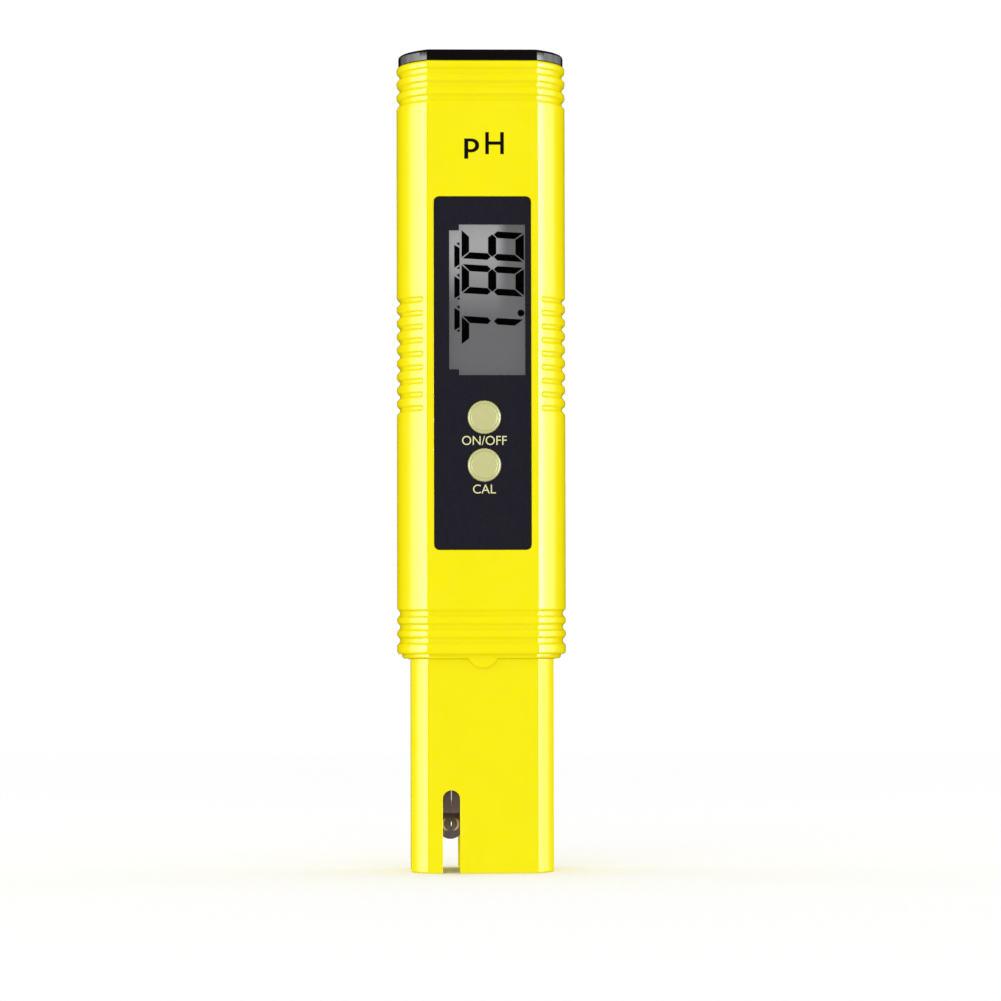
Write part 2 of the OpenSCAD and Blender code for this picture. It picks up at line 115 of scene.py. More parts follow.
GUARD_R = 14.15
GUARD_HALF_W = 13.0
GUARD_WALL = 1.5
SENSOR_X = (BULB_LOW.x + BULB_HIGH.x) / 2
SLOT_W = 3.1
SLOT_H = 15.0

BUTTON_D = 6.04
INK = 0.015

# the camera's place in millimetres and degrees, for which the display segments are placed as well
CAMERA_AWAY = 740.0
CAMERA_Z = 44.9
CAMERA_TURN = -1.5
CAMERA_ROLL = -0.12
AIM_X = 3.54
AIM_Z = 67.8
LENS = 144.8


def smooth(low, high, value):
    """0 below low, 1 above high, and an S-shaped rise between."""
    t = min(1.0, max(0.0, (value - low) / (high - low)))
    return t * t * (3 - 2 * t)


def between(first, last, share):
    """Numbers a share of the way from the first tuple to the last."""
    return [a + (b - a) * share for a, b in zip(first, last)]


def steps(low, high, count):
    """count + 1 even values from low to high."""
    return [low + (high - low) * i / count for i in range(count + 1)]


# ---- outlines ------------------------------------------------------------------------------------

class Outline:
    """Cross-section with a front and a back flat and rounded sides, which an inset moves in.

    The sides are arcs about (centre, 0), mirrored; half_w, where it is given, cuts them to a flat.
    Angles run from the front (-Y) towards the side, and arc_stops are shares of the arc.
    """

    def __init__(self, half_t, radius, centre, arc_stops, half_w=None):
        self.half_t = half_t
        self.radius = radius
        self.centre = centre
        self.arc_stops = arc_stops
        self.half_w = half_w

    def quarter(self, inset, dip=None):
        """Points from the middle of the front to the middle of the right side."""
        flat = self.half_t - inset
        radius = self.radius - inset
        reach = math.sqrt((radius - EDGE_R) ** 2 - (flat - EDGE_R) ** 2)
        turn = math.atan2(reach, flat - EDGE_R)
        corner = (self.centre + reach, EDGE_R - flat)
        points = [(corner[0] * t, -flat) for t in steps(0, 1, 4)[:-1]]
        points += [turned(corner, EDGE_R, turn * t) for t in steps(0, 1, 5)[:-1]]
        stop = math.pi / 2
        if self.half_w:
            side = self.half_w - inset - EDGE_R
            rise = math.sqrt((radius - EDGE_R) ** 2 - side ** 2)
            stop = math.atan2(side, rise)
        for share in self.arc_stops:
            angle = turn + (stop - turn) * share
            shift = dip(angle) if dip else 0
            points.append(turned((self.centre, 0), radius - shift, angle))
        if self.half_w:
            rounding = steps(stop, math.pi / 2, 5)[1:]
            points += [turned((side, -rise), EDGE_R, angle) for angle in rounding]
            points += [(self.half_w - inset, -rise * (1 - t)) for t in steps(0, 1, 3)[1:]]
        return points

    def loop(self, z, inset, dip=None):
        """The whole outline at height z, once round."""
        front = self.quarter(inset, dip)
        right = front + [(x, -y) for x, y in reversed(front[:-1])]
        left = [(-x, y) for x, y in reversed(right[1:-1])]
        return [(x, y, z) for x, y in right + left]


def turned(centre, radius, angle):
    """The point at this angle from -Y towards +X, on a circle."""
    return (centre[0] + radius * math.sin(angle), centre[1] - radius * math.cos(angle))


# the arc is finely divided beside the front flat, where the grip grooves end
PEN = Outline(BODY_HIGH.y, SIDE_R, BODY_HIGH.x - SIDE_R,
              steps(0, 0.15, 16) + steps(0.15, 1, 20)[1:])
GUARD = Outline(GUARD_HIGH.y, GUARD_R, 0, steps(0, 1, 10), half_w=GUARD_HALF_W)


def rounded_edge(z_from, inset_from, z_to, inset_to, upright_first):
    """(z, inset) levels along a quarter turn between two levels, without its first point."""
    levels = []
    for angle in steps(0, math.pi / 2, 5)[1:]:
        along, across = math.sin(angle), 1 - math.cos(angle)
        if not upright_first:
            along, across = across, along
        levels.append((z_from + (z_to - z_from) * along,
                       inset_from + (inset_to - inset_from) * across))
    return levels


def rounded_rectangle(width, height, radius, centre_z, grow):
    """(x, z) points of a rectangle with round corners about (0, centre_z), grown all round."""
    points = []
    for i, (sx, sz) in enumerate(((1, 1), (-1, 1), (-1, -1), (1, -1))):
        for angle in steps(i * math.pi / 2, (i + 1) * math.pi / 2, 8):
            across = sx * (width / 2 - radius) + (radius + grow) * math.cos(angle)
            up = centre_z + sz * (height / 2 - radius) + (radius + grow) * math.sin(angle)
            points.append((across, up))
    return points


# ---- mesh building -------------------------------------------------------------------------------

def loft(loops, ring=False):
    """A closed mesh through loops of (x, y, z) points, with end caps or, as a ring, joined up."""
    bm = bmesh.new()
    rings = [[bm.verts.new(Vector(point) * MM) for point in loop] for loop in loops]
    following = rings[1:] + rings[:1] if ring else rings[1:]
    for low, high in zip(rings, following):
        for i in range(len(low)):
            j = (i + 1) % len(low)
            bm.faces.new((low[i], low[j], high[j], high[i]))
    if not ring:
        bm.faces.new(list(reversed(rings[0])))
        bm.faces.new(rings[-1])
    bmesh.ops.recalc_face_normals(bm, faces=bm.faces)
    return bm


def lathe(profile, centre, axis, segments=64):
    """A closed mesh from (radius, along) points turned about an axis; the ends lie on the axis."""
    bm = bmesh.new()
    rings = []
    for radius, along in profile:
        count = 1 if radius == 0 else segments
        ring = []
        for i in range(count):
            angle = FULL_TURN * i / segments
            point = Vector((radius * math.cos(angle), radius * math.sin(angle), along))
            ring.append(bm.verts.new(point * MM))
        rings.append(ring)
    for low, high in zip(rings, rings[1:]):
        for i in range(segments):
            j = (i + 1) % segments
            corners = [low[i % len(low)], low[j % len(low)],
                       high[j % len(high)], high[i % len(high)]]
            bm.faces.new(list(dict.fromkeys(corners)))
    turn = Vector((0, 0, 1)).rotation_difference(Vector(axis)).to_matrix().to_4x4()
    bm.transform(Matrix.Translation(Vector(centre) * MM) @ turn)
    bmesh.ops.recalc_face_normals(bm, faces=bm.faces)
    return bm


def new_object(name, bm):
    """A linked object from a bmesh, which is freed."""
    mesh = bpy.data.meshes.new(name)
    bm.to_mesh(mesh)
    bm.free()
    obj = bpy.data.objects.new(name, mesh)
    bpy.context.scene.collection.objects.link(obj)
    return obj


def applied_mesh(thing):
    """The mesh of an object or text with its modifiers and thickness applied."""
    depsgraph = bpy.context.evaluated_depsgraph_get()
    return bpy.data.meshes.new_from_object(thing.evaluated_get(depsgraph))


def combine(base, operation, meshes):
    """Joins the meshes to the base object, or cuts them from it, and frees them."""
    group = bpy.data.collections.new("operands")
    bpy.context.scene.collection.children.link(group)
    for bm in meshes:
        operand = new_object("operand", bm)
        bpy.context.scene.collection.objects.unlink(operand)
        group.objects.link(operand)
    step = base.modifiers.new("combine", "BOOLEAN")
    step.operation = operation
    step.operand_type = "COLLECTION"
    step.collection = group
    step.solver = "EXACT"
    shape = applied_mesh(base)
    base.modifiers.remove(step)
    old = base.data
    base.data = shape
    shape.name = base.name
    bpy.data.meshes.remove(old)
    for operand in list(group.objects):
        bpy.data.objects.remove(operand)
    bpy.data.collections.remove(group)


def piece(obj, body, slot, sharp_angle=35):
    """Shades a finished piece, gives it its record slot's material and puts it on its body."""
    mesh = obj.data
    mesh.polygons.foreach_set("use_smooth", [True] * len(mesh.polygons))
    mesh.set_sharp_from_angle(angle=math.radians(sharp_angle))
    weighting = obj.modifiers.new("flat faces stay flat", "WEIGHTED_NORMAL")
    weighting.keep_sharp = True
    mesh.materials.clear()
    mesh.materials.append(LIBRARY[slot])
    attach(obj, body)
    return obj


# ---- materials -----------------------------------------------------------------------------------

class Nodes:
    """A material under construction: its tree, its Principled shader and a few shorthand calls."""

    def __init__(self, name):
        self.material = bpy.data.materials.new(name)
        self.material.use_nodes = True
        self.tree = self.material.node_tree
        self.shader = self.tree.nodes["Principled BSDF"]
        self.output = self.tree.nodes["Material Output"]
        self.place = self.add("ShaderNodeTexCoord").outputs["Object"]

    def add(self, kind, **settings):
        node = self.tree.nodes.new(kind)
        for key, value in settings.items():
            setattr(node, key, value)
        return node

    def feed(self, socket, value):
        """Links an output socket to an input, or sets the input's own value."""
        if isinstance(value, bpy.types.NodeSocket):
            self.tree.links.new(value, socket)
        elif isinstance(value, tuple) and len(value) == 3 and socket.type == "RGBA":
            socket.default_value = (*value, 1)
        else:
            socket.default_value = value

    def noise(self, size, detail=2, stretch=(1, 1, 1)):
        """Noise between 0 and 1 whose features measure about size millimetres."""
        mapping = self.add("ShaderNodeMapping")
        self.feed(mapping.inputs["Vector"], self.place)
        mapping.inputs["Scale"].default_value = stretch
        texture = self.add("ShaderNodeTexNoise")
        self.feed(texture.inputs["Vector"], mapping.outputs["Vector"])
        texture.inputs["Scale"].default_value = 1 / (size * MM)
        texture.inputs["Detail"].default_value = detail
        return texture.outputs["Fac"]

    def remap(self, value, low, high, to_low, to_high, smoothly=False):
        node = self.add("ShaderNodeMapRange")
        if smoothly:
            node.interpolation_type = "SMOOTHSTEP"
        for key, entry in (("Value", value), ("From Min", low), ("From Max", high),
                           ("To Min", to_low), ("To Max", to_high)):
            self.feed(node.inputs[key], entry)
        return node.outputs["Result"]

    def mix(self, share, first, second):
        node = self.add("ShaderNodeMix", data_type="RGBA")
        self.feed(node.inputs[0], share)
        self.feed(node.inputs[6], first)
        self.feed(node.inputs[7], second)
        return node.outputs[2]

    def math(self, operation, first, second):
        node = self.add("ShaderNodeMath", operation=operation)
        self.feed(node.inputs[0], first)
        self.feed(node.inputs[1], second)
        return node.outputs[0]

    def axis(self, name):
        """One coordinate of the object's own space, in metres."""
        node = self.add("ShaderNodeSeparateXYZ")
        self.feed(node.inputs[0], self.place)
        return node.outputs[name]

    def bump(self, height, depth):
        """Bump whose height of 1 stands depth millimetres proud."""
        node = self.add("ShaderNodeBump")
        node.inputs["Strength"].default_value = 1
        node.inputs["Distance"].default_value = depth * MM
        self.feed(node.inputs["Height"], height)
        self.feed(self.shader.inputs["Normal"], node.outputs["Normal"])

    def surface(self, **values):
        """Feeds the Principled shader's inputs by name, with _ for a space."""
        for key, value in values.items():
            self.feed(self.shader.inputs[key.replace("_", " ")], value)


def varied(colour, factor):
    return tuple(channel * factor for channel in colour)


def painted_by_facing(nodes, base, stops):
    """Lays painted light and shade over the base by how far the surface turns from the view:
    (facing, colour, cover) stops.
    """
    facing = nodes.add("ShaderNodeLayerWeight")
    facing.inputs["Blend"].default_value = 0.5
    ramp = nodes.add("ShaderNodeValToRGB")
    nodes.feed(ramp.inputs["Fac"], facing.outputs["Facing"])
    elements = ramp.color_ramp.elements
    for i, (position, colour, cover) in enumerate(stops):
        element = elements[i] if i < 2 else elements.new(position)
        element.position = position
        element.color = (*colour, cover)
    return nodes.mix(ramp.outputs["Alpha"], base, ramp.outputs["Color"])


def moulded(name, colour, painted_rim_shade=(), roughness=0.3, grain=0.004, mottle=0.02, specular=0.5,
            streak=0):
    """Moulded plastic: a fine grain, faint mottling, and a painted rim shade in other tones where
    it turns away from the view.
    """
    nodes = Nodes(name)
    patch = nodes.remap(nodes.noise(7, 3), 0.3, 0.7, 0, 1)
    base = nodes.mix(patch, varied(colour, 1 - mottle), varied(colour, 1 + mottle))
    if streak:
        brushed = nodes.remap(nodes.noise(0.5, 4, (2.5, 1, 0.5)), 0.3, 0.7, 0, 1)
        base = nodes.mix(brushed, varied(colour, 1 - streak), varied(colour, 1 + streak))
    # painted rim shade: the colour changes with the viewing angle, not with the plastic
    if painted_rim_shade:
        base = painted_by_facing(nodes, base, painted_rim_shade)
    nodes.surface(
        Base_Color=base,
        Roughness=nodes.remap(nodes.noise(2.5), 0.3, 0.7, roughness - 0.03, roughness + 0.03),
        Specular_IOR_Level=specular,
    )
    nodes.bump(nodes.noise(0.12, 3), grain)
    return nodes.material


def metal(name, colour, roughness=0.25, brushing=(1, 1, 6), tarnish=0.12):
    """Bare or plated metal, drawn along one direction, with patches of duller surface."""
    nodes = Nodes(name)
    drawn = nodes.noise(0.15, 4, brushing)
    patch = nodes.remap(nodes.noise(2.2, 3), 0.4, 0.7, 0, 1, True)
    nodes.surface(
        Base_Color=nodes.mix(patch, colour, varied(colour, 1 - tarnish)),
        Metallic=1.0,
        Roughness=nodes.remap(drawn, 0.2, 0.8, roughness - 0.08, roughness + 0.12),
    )
    nodes.bump(drawn, 0.004)
    return nodes.material


def rubber(name, colour):
    """Matt moulded rubber with a dusty bloom."""
    nodes = Nodes(name)
    bloom = nodes.remap(nodes.noise(1.6, 4), 0.45, 0.8, 0, 0.35, True)
    nodes.surface(
        Base_Color=nodes.mix(bloom, colour, tuple(channel + 0.03 for channel in colour)),
        Roughness=nodes.remap(nodes.noise(0.5, 2), 0.3, 0.7, 0.55, 0.7),
    )
    nodes.bump(nodes.noise(0.1, 4), 0.006)
    return nodes.material


def clear(name, tint, ior=1.49, haze=0.02):
    """A clear plate or tube: it lets light straight through and reflects at its outer faces."""
    nodes = Nodes(name)
    fresnel = nodes.add("ShaderNodeFresnel")
    fresnel.inputs["IOR"].default_value = ior
    through = nodes.add("ShaderNodeBsdfTransparent")
    smear = nodes.remap(nodes.noise(3, 3), 0.3, 0.7, 0.985, 1)
    nodes.feed(through.inputs["Color"], nodes.mix(smear, varied(tint, 0.9), tint))
    gloss = nodes.add("ShaderNodeBsdfGlossy")
    nodes.feed(gloss.inputs["Roughness"], nodes.remap(nodes.noise(1.2), 0, 1, haze, haze + 0.05))
    backfacing = nodes.add("ShaderNodeNewGeometry").outputs["Backfacing"]
    facing_out = nodes.math("SUBTRACT", 1.0, backfacing)
    blend = nodes.add("ShaderNodeMixShader")
    nodes.feed(blend.inputs["Fac"], nodes.math("MULTIPLY", fresnel.outputs["Fac"], facing_out))
    nodes.feed(blend.inputs[1], through.outputs["BSDF"])
    nodes.feed(blend.inputs[2], gloss.outputs["BSDF"])
    nodes.feed(nodes.output.inputs["Surface"], blend.outputs["Shader"])
    nodes.tree.nodes.remove(nodes.shader)
    return nodes.material


def display_film():
    """The grey film on the display's glass, with a faint brushing: a painted reflection makes it
    lighter at the upper left and at the top of the side strip, and a painted glow keeps it evenly
    lit in its recess.
    """
    nodes = Nodes("display_film")
    x, z = nodes.axis("X"), nodes.axis("Z")
    top = WINDOW_HIGH.z
    # painted reflection: lighter to the left of x = 2.2 to 4.8 mm and towards the top
    to_right = nodes.remap(x, 2.2 * MM, 4.8 * MM, 1, 0, True)
    upper = nodes.remap(z, (top - 16.5) * MM, (top - 4) * MM, 0, 1)
    step_x = WINDOW_HIGH.x - 11.95
    in_strip = nodes.remap(x, (step_x - 0.03) * MM, (step_x + 0.03) * MM, 1, 0)
    # painted reflection on the side strip: lighter towards its top
    strip_painted_reflection = nodes.remap(z, (top - 14) * MM, (top - 6) * MM, 0, 1.1)
    light = nodes.math("MULTIPLY", to_right, upper)
    share = nodes.add("ShaderNodeMix", data_type="FLOAT")
    nodes.feed(share.inputs[0], in_strip)
    nodes.feed(share.inputs[2], light)
    nodes.feed(share.inputs[3], strip_painted_reflection)
    brushed = nodes.remap(nodes.noise(0.25, 3, (8, 1, 0.4)), 0.3, 0.7, -0.02, 0.02)
    tone = nodes.math("ADD", share.outputs[0], brushed)
    shade = nodes.remap(tone, 0, 1.25, 0.131, 0.386)
    # painted glow: the film emits its own grey, so the recess casts no shade on it
    nodes.surface(
        Base_Color=nodes.mix(shade, (0, 0, 0), (0.5, 0.5, 0.5)),
        Emission_Color=nodes.mix(shade, (0, 0, 0), (1, 1, 1.01)),
        Emission_Strength=0.82,
        Roughness=0.55,
        Specular_IOR_Level=0.1,
    )
    return nodes.material


def circuit_board():
    """Green solder mask over copper tracks, which show as a slightly raised, lighter grid."""
    nodes = Nodes("board")
    tracks = nodes.add("ShaderNodeTexBrick")
    turn = nodes.add("ShaderNodeMapping")
    nodes.feed(turn.inputs["Vector"], nodes.place)
    turn.inputs["Rotation"].default_value = (math.pi / 2, 0, 0)
    nodes.feed(tracks.inputs["Vector"], turn.outputs["Vector"])
    for key, value in (("Scale", 500.0), ("Mortar Size", 0.06), ("Brick Width", 1.6),
                       ("Row Height", 0.5)):
        tracks.inputs[key].default_value = value
    mask = tracks.outputs["Fac"]
    nodes.surface(
        Base_Color=nodes.mix(mask, (0.012, 0.11, 0.045), (0.05, 0.24, 0.09)),
        Roughness=nodes.remap(nodes.noise(1.5), 0.3, 0.7, 0.25, 0.35),
    )
    nodes.bump(mask, 0.02)
    return nodes.material


def striped_rubber():
    """The contact strip between glass and board: dark conducting layers in pink rubber."""
    nodes = Nodes("zebra_rubber")
    layers = nodes.add("ShaderNodeTexWave", bands_direction="Z")
    nodes.feed(layers.inputs["Vector"], nodes.place)
    layers.inputs["Scale"].default_value = 1200
    layers.inputs["Distortion"].default_value = 0.3
    dark = nodes.remap(layers.outputs["Fac"], 0.45, 0.55, 0, 1)
    nodes.surface(Base_Color=nodes.mix(dark, (0.55, 0.25, 0.25), (0.03, 0.03, 0.03)), Roughness=0.6)
    nodes.bump(layers.outputs["Fac"], 0.01)
    return nodes.material


def banded(name, colour, band):
    """Small ceramic parts: a pale body with darker metal end bands in even steps along X."""
    nodes = Nodes(name)
    wave = nodes.add("ShaderNodeTexWave", bands_direction="X")
    nodes.feed(wave.inputs["Vector"], nodes.place)
    wave.inputs["Scale"].default_value = 104
    ends = nodes.remap(wave.outputs["Fac"], 0.6, 0.7, 0, 1)
    nodes.surface(Base_Color=nodes.mix(ends, colour, band), Roughness=0.4)
    nodes.bump(nodes.noise(0.2, 3), 0.006)
    return nodes.material


def speckled(name, colour, fleck, size, roughness=0.5, amount=0.62):
    """A cast or sintered body with small flecks in it."""
    nodes = Nodes(name)
    flecks = nodes.remap(nodes.noise(size, 5), amount, amount + 0.06, 0, 1)
    nodes.surface(
        Base_Color=nodes.mix(flecks, colour, fleck),
        Roughness=nodes.remap(nodes.noise(size * 3), 0.3, 0.7, roughness - 0.08, roughness + 0.08),
    )
    nodes.bump(nodes.noise(size / 2, 4), 0.01)
    return nodes.material


def membrane():
    """Thin blown glass over a dark filling, with painted reflections as white and orange rings at
    its sides.
    """
    nodes = Nodes("membrane_glass")
    dark = (0.16, 0.13, 0.18)
    white, orange = (0.95, 0.78, 0.82), (0.80, 0.32, 0.12)
    # painted reflections: white and orange rings where the ball turns away from the view
    painted_reflections = painted_by_facing(nodes, dark, ((0.09, dark, 0), (0.22, dark, 0), (0.12, white, 1),
                                      (0.145, white, 1), (0.175, orange, 0.8)))
    normal = nodes.add("ShaderNodeSeparateXYZ")
    nodes.feed(normal.inputs[0], nodes.add("ShaderNodeNewGeometry").outputs["Normal"])
    # the painted reflections fade out where the glass faces up or down
    rise = nodes.math("ABSOLUTE", normal.outputs["Z"], 0.0)
    above = nodes.remap(rise, 0.28, 0.44, 0, 1, True)
    nodes.surface(
        Base_Color=nodes.mix(above, painted_reflections, dark),
        Roughness=nodes.remap(nodes.noise(1.0), 0, 1, 0.03, 0.06),
        Coat_Weight=1.0,
    )
    nodes.bump(nodes.noise(0.8, 1), 0.003)
    return nodes.material


YELLOW = (0.985, 0.875, 0.0)
# painted rim shade: a more orange yellow laid on where the body turns away from the view, for the
# shading at its sides
YELLOW_PAINTED_RIM_SHADE = (1.0, 0.84, 0.0)
OLIVE = (0.605, 0.605, 0.265)

LIBRARY = {
    "yellow_abs": moulded("yellow_abs", YELLOW,
                          ((0.45, YELLOW_PAINTED_RIM_SHADE, 0), (0.7, YELLOW_PAINTED_RIM_SHADE, 1)),
                          roughness=0.16, mottle=0.012),
    "black_abs": moulded("black_abs", (0.006, 0.005, 0.005), roughness=0.16, mottle=0.1),
    "panel_film": moulded("panel_film", (0.0166, 0.015, 0.025), roughness=0.28, streak=0.12),
    "window_acrylic": clear("window_acrylic", (0.97, 0.97, 0.98)),
    "lcd_glass": clear("lcd_glass", (0.985, 0.99, 0.985), ior=1.3),
    "reflector": metal("reflector", (0.75, 0.75, 0.75), roughness=0.4),
    "white_abs": moulded("white_abs", (0.72, 0.71, 0.67), roughness=0.38, mottle=0.03),
    "zebra_rubber": striped_rubber(),
    "board": circuit_board(),
    "chip_epoxy": speckled("chip_epoxy", (0.018, 0.018, 0.019), (0.05, 0.05, 0.05), 0.15),
    "ceramic_parts": banded("ceramic_parts", (0.42, 0.33, 0.20), (0.6, 0.6, 0.58)),
    "steel": metal("steel", (0.62, 0.62, 0.63)),
    "gilt_contact": metal("gilt_contact", (0.83, 0.60, 0.24), roughness=0.22),
    "button_plastic": moulded("button_plastic", OLIVE, roughness=0.22, mottle=0.02, specular=0.7),
    "seal_rubber": rubber("seal_rubber", (0.02, 0.02, 0.021)),
    "red_wire": moulded("red_wire", (0.45, 0.012, 0.012), roughness=0.4),
    "black_wire": moulded("black_wire", (0.012, 0.012, 0.013), roughness=0.4, mottle=0.1),
    "white_wire": moulded("white_wire", (0.7, 0.7, 0.68), roughness=0.4),
    "potting_epoxy": speckled("potting_epoxy", (0.10, 0.045, 0.02), (0.16, 0.08, 0.04), 0.4, 0.2),
    "electrode_plastic": moulded("electrode_plastic", (0.2, 0.155, 0.25), roughness=0.12,
                                 mottle=0.15),
    "membrane_glass": membrane(),
    "gel": clear("gel", (0.80, 0.88, 0.96), ior=1.33, haze=0.1),
    "porous_ceramic": speckled("porous_ceramic", (0.72, 0.66, 0.55), (0.45, 0.40, 0.32), 0.12, 0.8),
}


def ink(name, colour):
    """Screen-printed ink, slightly uneven in cover."""
    nodes = Nodes(name)
    cover = nodes.remap(nodes.noise(0.35, 3), 0.3, 0.7, 0, 1)
    nodes.surface(Base_Color=nodes.mix(cover, varied(colour, 0.93), colour), Roughness=0.45)
    nodes.bump(nodes.noise(0.08, 2), 0.002)
    return nodes.material


INKS = {
    "black_ink": ink("black_ink", (0.005, 0.004, 0.004)),
    "pale_ink": ink("pale_ink", (0.84, 0.83, 0.40)),
    "crystal_black": ink("crystal_black", (0.0015, 0.0015, 0.0015)),
}


# ---- body ----------------------------------------------------------------------------------------

def groove(distance, floor, mouth, depth):
    """Depth of a groove at a distance from its middle: a flat floor and rounded shoulders."""
    return depth * (1 - smooth(floor, mouth, distance))


RINGS = [LOW_Z + 2.5 + i * RING_PITCH for i in range(3)]
RINGS += [TOP_Z - 1.9 - i * RING_PITCH for i in range(3)]
GRIPS = [LOW_Z + 44.7 + i * GRIP_PITCH for i in range(GRIP_COUNT)]


def body_levels():
    """The outer rows of the body, from its lower to its upper rounded edge."""
    lower, upper = 0.55, 0.5
    reach = 1.0
    heights = {LOW_Z + lower + 0.05, TOP_Z - upper - 0.05}
    for middle in RINGS + GRIPS:
        heights.update(middle + offset for offset in steps(-reach, reach, 24))
    inside = sorted(z for z in heights if LOW_Z + lower < z < TOP_Z - upper)
    rows = [(LOW_Z, lower)] + rounded_edge(LOW_Z, lower, LOW_Z + lower, 0, False)
    rows += [(z, ring_cut(z, RING_AT_FRONT)) for z in inside]
    rows.append((TOP_Z - upper, 0))
    return rows + rounded_edge(TOP_Z - upper, 0, TOP_Z, upper, True)


def ring_cut(z, shape):
    """How deep the ring grooves cut at height z, where their section has this shape."""
    return sum(groove(abs(z - ring), *shape) for ring in RINGS)


def side_dip(z):
    """How much deeper the side is cut than the front at height z, as a function of the angle."""
    middle = min(GRIPS, key=lambda grip: abs(grip - z))
    rise = abs(middle - z)
    extra_ring = ring_cut(z, RING_AT_SIDE) - ring_cut(z, RING_AT_FRONT)

    def dip(angle):
        beside = SIDE_R * max(0.0, GRIP_END - angle)
        towards_side = smooth(math.radians(66), math.radians(89), angle)
        grip = groove(math.hypot(rise, beside), *between(GRIP_AT_END, GRIP_AT_SIDE, towards_side))
        return grip + extra_ring * towards_side
    return dip


def flared(y_mouth, y_floor, flare):
    """(y, grow) levels of a cutter whose mouth is rounded where it meets a front-facing surface."""
    turn = steps(0, math.pi / 2, 5)
    edge = [(y_mouth + flare - flare * math.sin(a), flare - flare * math.cos(a)) for a in turn]
    return [(y_floor, 0)] + edge + [(y_mouth - 1, flare)]


def depth_loft(levels, outline):
    """A cutter or plate along Y from (y, grow) levels and a function of grow that gives (x, z)."""
    return loft([[(x, y, z) for x, z in outline(grow)] for y, grow in levels])


def body():
    ledge_z = TOP_Z - 16.9
    ledge_in = WALL + 1.2
    lip_low_in = LIP_INSET + 0.55
    loops = [PEN.loop(BODY_LOW.z, WALL), PEN.loop(BODY_LOW.z, lip_low_in)]
    lip = rounded_edge(BODY_LOW.z, lip_low_in, BODY_LOW.z + 0.5, LIP_INSET, False)
    loops += [PEN.loop(z, inset) for z, inset in lip + [(LOW_Z, LIP_INSET)]]
    loops += [PEN.loop(z, inset, side_dip(z)) for z, inset in body_levels()]
    inner = [(TOP_Z, WALL), (ledge_z + 1, WALL), (ledge_z + 1, ledge_in), (ledge_z, ledge_in),
             (ledge_z, WALL)]
    loops += [PEN.loop(z, inset) for z, inset in inner]
    shell = new_object("pen_body", loft(loops, ring=True))

    panel_back = PANEL_HIGH.y
    panel_w = PANEL_HIGH.x - PANEL_LOW.x + 0.22
    panel_h = PANEL_HIGH.z - PANEL_LOW.z + 0.1
    panel_z = (PANEL_LOW.z + PANEL_HIGH.z) / 2
    recess = depth_loft(flared(FRONT, panel_back, 0.12),
                        lambda grow: rounded_rectangle(panel_w, panel_h, 1, panel_z, grow))
    margin = 0.55
    opening_w = WINDOW_HIGH.x - WINDOW_LOW.x + 2 * margin
    opening_h = WINDOW_HIGH.z - WINDOW_LOW.z + 2 * margin
    opening_z = (WINDOW_LOW.z + WINDOW_HIGH.z) / 2
    opening = depth_loft(
        [(panel_back - 0.2, 0), (FRONT + WALL + 0.2, 0)],
        lambda grow: rounded_rectangle(opening_w, opening_h, 0.3, opening_z, grow))
    opening.transform(Matrix.Translation(((WINDOW_LOW.x + WINDOW_HIGH.x) / 2 * MM, 0, 0)))
    holes = []
    for node in ("power_button", "cal_button"):
        low, high = span(node)
        middle = ((low.x + high.x) / 2, panel_back - 0.2, (low.z + high.z) / 2)
        radius = (BUTTON_D + 1.44) / 2
        holes.append(lathe([(0, 0), (radius, 0), (radius, WALL), (0, WALL)], middle, (0, 1, 0)))
    combine(shell, "DIFFERENCE", [recess])
    combine(shell, "DIFFERENCE", [opening] + holes)
    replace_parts(piece(shell, "pen", "yellow_abs"), "body_shell")


# ---- probe guard ---------------------------------------------------------------------------------

def slot_outline(grow):
    """(x, z) points of the water slot, open below the guard's rim and round at the top."""
    radius = SLOT_W / 2
    below = -2.0
    reach = radius + grow
    arc = [(SENSOR_X + reach * math.cos(a), SLOT_H - radius + reach * math.sin(a))
           for a in steps(0, math.pi, 16)]
    return arc + [(SENSOR_X - radius - grow, below), (SENSOR_X + radius + grow, below)]


def tab_outline(grow):
    """(x, z) points of the half-round tab, which runs up over the body's rounded lip."""
    radius = 2.9 + grow
    above = 1.25
    over_lip = 0.5
    start = math.acos((above - over_lip) / radius)
    return [(radius * math.sin(a), BODY_LOW.z + above - radius * math.cos(a))
            for a in steps(-start, start, 24)]


